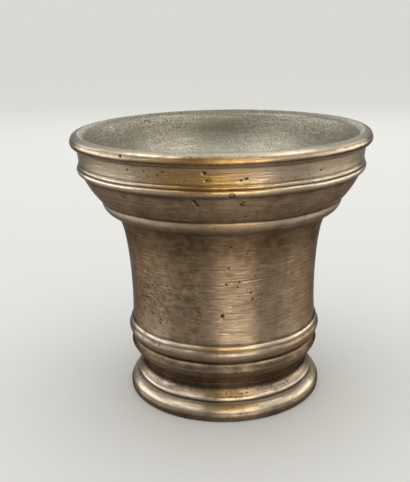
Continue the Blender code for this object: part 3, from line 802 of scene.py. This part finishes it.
def buildPlug(s, points, innerCount):
    place, out = plugSeat(s, points, innerCount)
    bm = bmesh.new()
    bmesh.ops.create_cone(bm, cap_ends=True, segments=s["segments"], radius1=s["radius"] * mm,
                          radius2=s["radius"] * mm, depth=s["length"] * mm,
                          matrix=Matrix.Translation((0, 0, -s["length"] / 2 * mm)))
    rimEdges = [e for e in bm.edges if all(v.co.z > -0.1 * mm for v in e.verts)]
    bmesh.ops.bevel(bm, geom=rimEdges, offset=s["rounding"] * mm, offset_type="OFFSET", affect="EDGES",
                    segments=3, profile=0.5, material=-1)
    face = max(bm.faces, key=lambda f: f.calc_center_median().z)
    for _ in range(s["faceRings"]):
        bmesh.ops.inset_individual(bm, faces=[face], thickness=s["faceRing"] * mm)
    bmesh.ops.transform(bm, matrix=out.to_track_quat("Z", "Y").to_matrix().to_4x4(), verts=bm.verts[:])
    bmesh.ops.translate(bm, vec=place, verts=bm.verts[:])
    # its face follows the bead
    for vert in bm.verts:
        rise = (vert.co - place).dot(out)
        if rise > -s["faceDepth"] * mm:
            degrees = math.degrees(math.atan2(vert.co.x, -vert.co.y))
            vert.co = outsideSpot(points, innerCount, degrees, vert.co.z / mm)[0] + out * rise
    bmesh.ops.recalc_face_normals(bm, faces=bm.faces[:])
    return bm


bm, outline, innerCount = buildMortar(mortarSet)
casting = newPiece("mortarCasting", bm, [turned, cast])
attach(casting, "root")
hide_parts("mortar_casting")

plug = newPiece("foundersPlug", buildPlug(plugSet, outline, innerCount), [filed])
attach(plug, "root")
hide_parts("founders_plug")
print("pieces made")


# table, lamps and the light all round, in metres and watts; tableClouds is how many to the metre

roomSet = {
    "table": "#ebebe9", "tableRadius": 12.0, "tableClouds": 6.0, "background": "#dad9d5", "ambient": 1.21,
    # a strip is there for the metal to mirror, and doesn't light the table
    "lamps": {
        "overhead": {"at": (0.0, 0.05, 1.05), "aim": (0, 0, 0.10), "size": (0.90, 0.90), "power": 1.6,
                     "colour": (0.93, 0.96, 1.0)},
        "back": {"at": (0.05, 0.95, 0.50), "aim": (0, 0, 0.10), "size": (0.90, 0.30), "power": 0.9,
                 "colour": (0.93, 0.96, 1.0)},
        "frontStrip": {"at": (0.20, -0.79, 0.15), "aim": (0, 0, 0.07), "size": (0.60, 0.20), "power": 6.2,
                       "colour": (1.0, 0.97, 0.91), "strip": True},
        "highLeft": {"at": (-0.59, -0.36, 0.72), "aim": (0, 0, 0.10), "size": (0.62, 0.16), "power": 2.7,
                     "colour": (0.98, 0.98, 1.0), "strip": True},
        "highRight": {"at": (0.59, -0.36, 0.72), "aim": (0, 0, 0.10), "size": (0.62, 0.16), "power": 2.7,
                      "colour": (1.0, 0.98, 0.95), "strip": True},
        "leftStrip": {"at": (-0.85, 0.10, 0.15), "aim": (0, 0, 0.06), "size": (0.95, 0.24), "power": 4.2,
                      "colour": (0.95, 0.97, 1.0), "strip": True},
        "rightStrip": {"at": (0.85, 0.14, 0.15), "aim": (0, 0, 0.06), "size": (0.95, 0.24), "power": 3.8,
                       "colour": (1.0, 0.97, 0.90), "strip": True},
    },
}


def buildRoom(s):
    tableMat, tree = newMaterial("paleTable")
    place = addNode(tree, "ShaderNodeTexCoord").outputs["Object"]
    cloud = addNode(tree, "ShaderNodeTexNoise", {"Vector": place, "Scale": s["tableClouds"], "Detail": 2.0})
    tint = addNode(tree, "ShaderNodeMapRange", {"Value": cloud, "To Min": 0.97})
    shade = addNode(tree, "ShaderNodeMix", {"Factor": 1.0, "A": toLinear(s["table"]), "B": tint},
                    data_type="RGBA", blend_type="MULTIPLY")
    shader = addNode(tree, "ShaderNodeBsdfPrincipled", {"Base Color": shade, "Roughness": 0.9,
                                                        "Specular IOR Level": 0.0})
    addNode(tree, "ShaderNodeOutputMaterial", {"Surface": shader})
    bm = bmesh.new()
    bmesh.ops.create_circle(bm, cap_ends=True, segments=96, radius=s["tableRadius"])
    newPiece("table", bm, [tableMat])

    for name, lamp in s["lamps"].items():
        data = bpy.data.lights.new(name, "AREA")
        data.shape = "RECTANGLE"
        data.size, data.size_y = lamp["size"]
        data.energy = lamp["power"]
        data.color = lamp["colour"]
        made = bpy.data.objects.new(name, data)
        scene.collection.objects.link(made)
        made.location = lamp["at"]
        made.visible_camera = False
        made.visible_diffuse = not lamp.get("strip")
        made.rotation_euler = (Vector(lamp["aim"]) - Vector(lamp["at"])).to_track_quat("-Z", "Y").to_euler()

    world = bpy.data.worlds.new("studio")
    scene.world = world
    world.use_nodes = True
    tree = world.node_tree
    tree.nodes.clear()
    # what the eye and the metal see is the pale background, and what lights the object is ambient
    ray = addNode(tree, "ShaderNodeLightPath")
    seen = addNode(tree, "ShaderNodeMath", {0: ray.outputs["Is Camera Ray"],
                                            1: ray.outputs["Is Glossy Ray"]}, operation="MAXIMUM")
    seen = addNode(tree, "ShaderNodeMath", {0: seen, 1: ray.outputs["Is Transmission Ray"]},
                   operation="MAXIMUM")
    strength = addNode(tree, "ShaderNodeMapRange", {"Value": seen, "To Min": s["ambient"], "To Max": 1.0})
    back = addNode(tree, "ShaderNodeBackground", {"Color": toLinear(s["background"]), "Strength": strength})
    addNode(tree, "ShaderNodeOutputWorld", {"Surface": back})


buildRoom(roomSet)
scene.view_settings.view_transform = "Standard"
print("room set")
